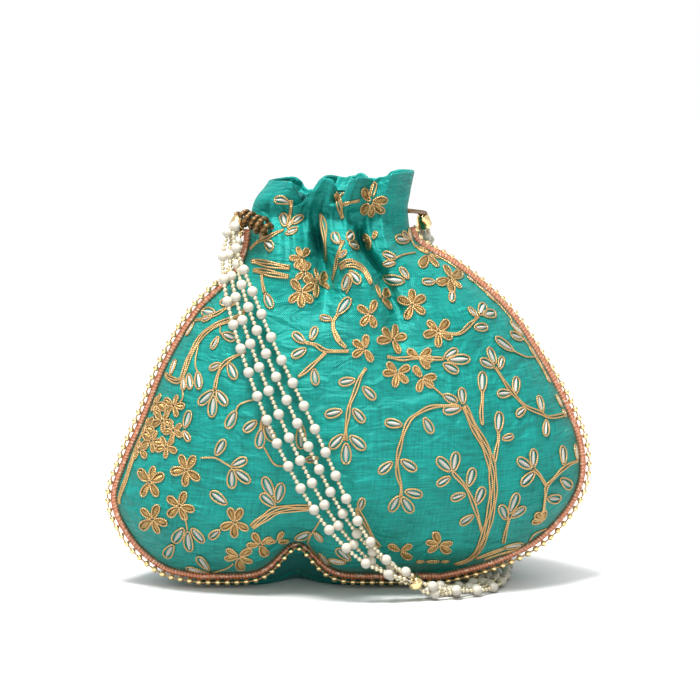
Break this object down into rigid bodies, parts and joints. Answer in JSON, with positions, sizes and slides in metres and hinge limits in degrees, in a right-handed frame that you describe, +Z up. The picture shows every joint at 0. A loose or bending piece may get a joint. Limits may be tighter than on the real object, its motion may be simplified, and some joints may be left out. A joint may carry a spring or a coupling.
{
  "type": "potli bag",
  "caption": "Embroidered silk drawstring pouch with a gathered neck and standing ruffle, piped seam edged with gold balls, and a pearl strand handle.",
  "frame": {"origin": "on the floor plane under the middle of the bag, on the flat of its base", "axes": "+X to the right of someone facing the front, +Y to the back, +Z up through the mouth; the embroidered front faces -Y"},
  "size_m": [0.2263, 0.1109, 0.1912],
  "materials": {
    "silk": "teal silk with a fine weave and a soft sheen",
    "lining_satin": "plain satin lining",
    "copper_piping": "copper metallic ribbon over a cord",
    "gold": "bright gold plate",
    "zari_cord": "dark gold twisted thread",
    "pearl": "ivory imitation pearl and gold seed beads"
  },
  "bodies": {
    "root": {"front_panel": "silk", "back_panel": "silk", "front_lining": "lining_satin", "back_lining": "lining_satin", "seam_piping": "copper_piping", "bead_edging": "gold", "drawstring_left": "zari_cord", "drawstring_right": "zari_cord", "handle_cap_left": "gold", "handle_cap_right": "gold", "handle_bead": "gold", "strand_1_front": "pearl", "strand_1_back": "pearl", "strand_2_front": "pearl", "strand_2_back": "pearl", "strand_3_front": "pearl", "strand_3_back": "pearl", "strand_4_front": "pearl", "strand_4_back": "pearl"}
  },
  "joints": []
}
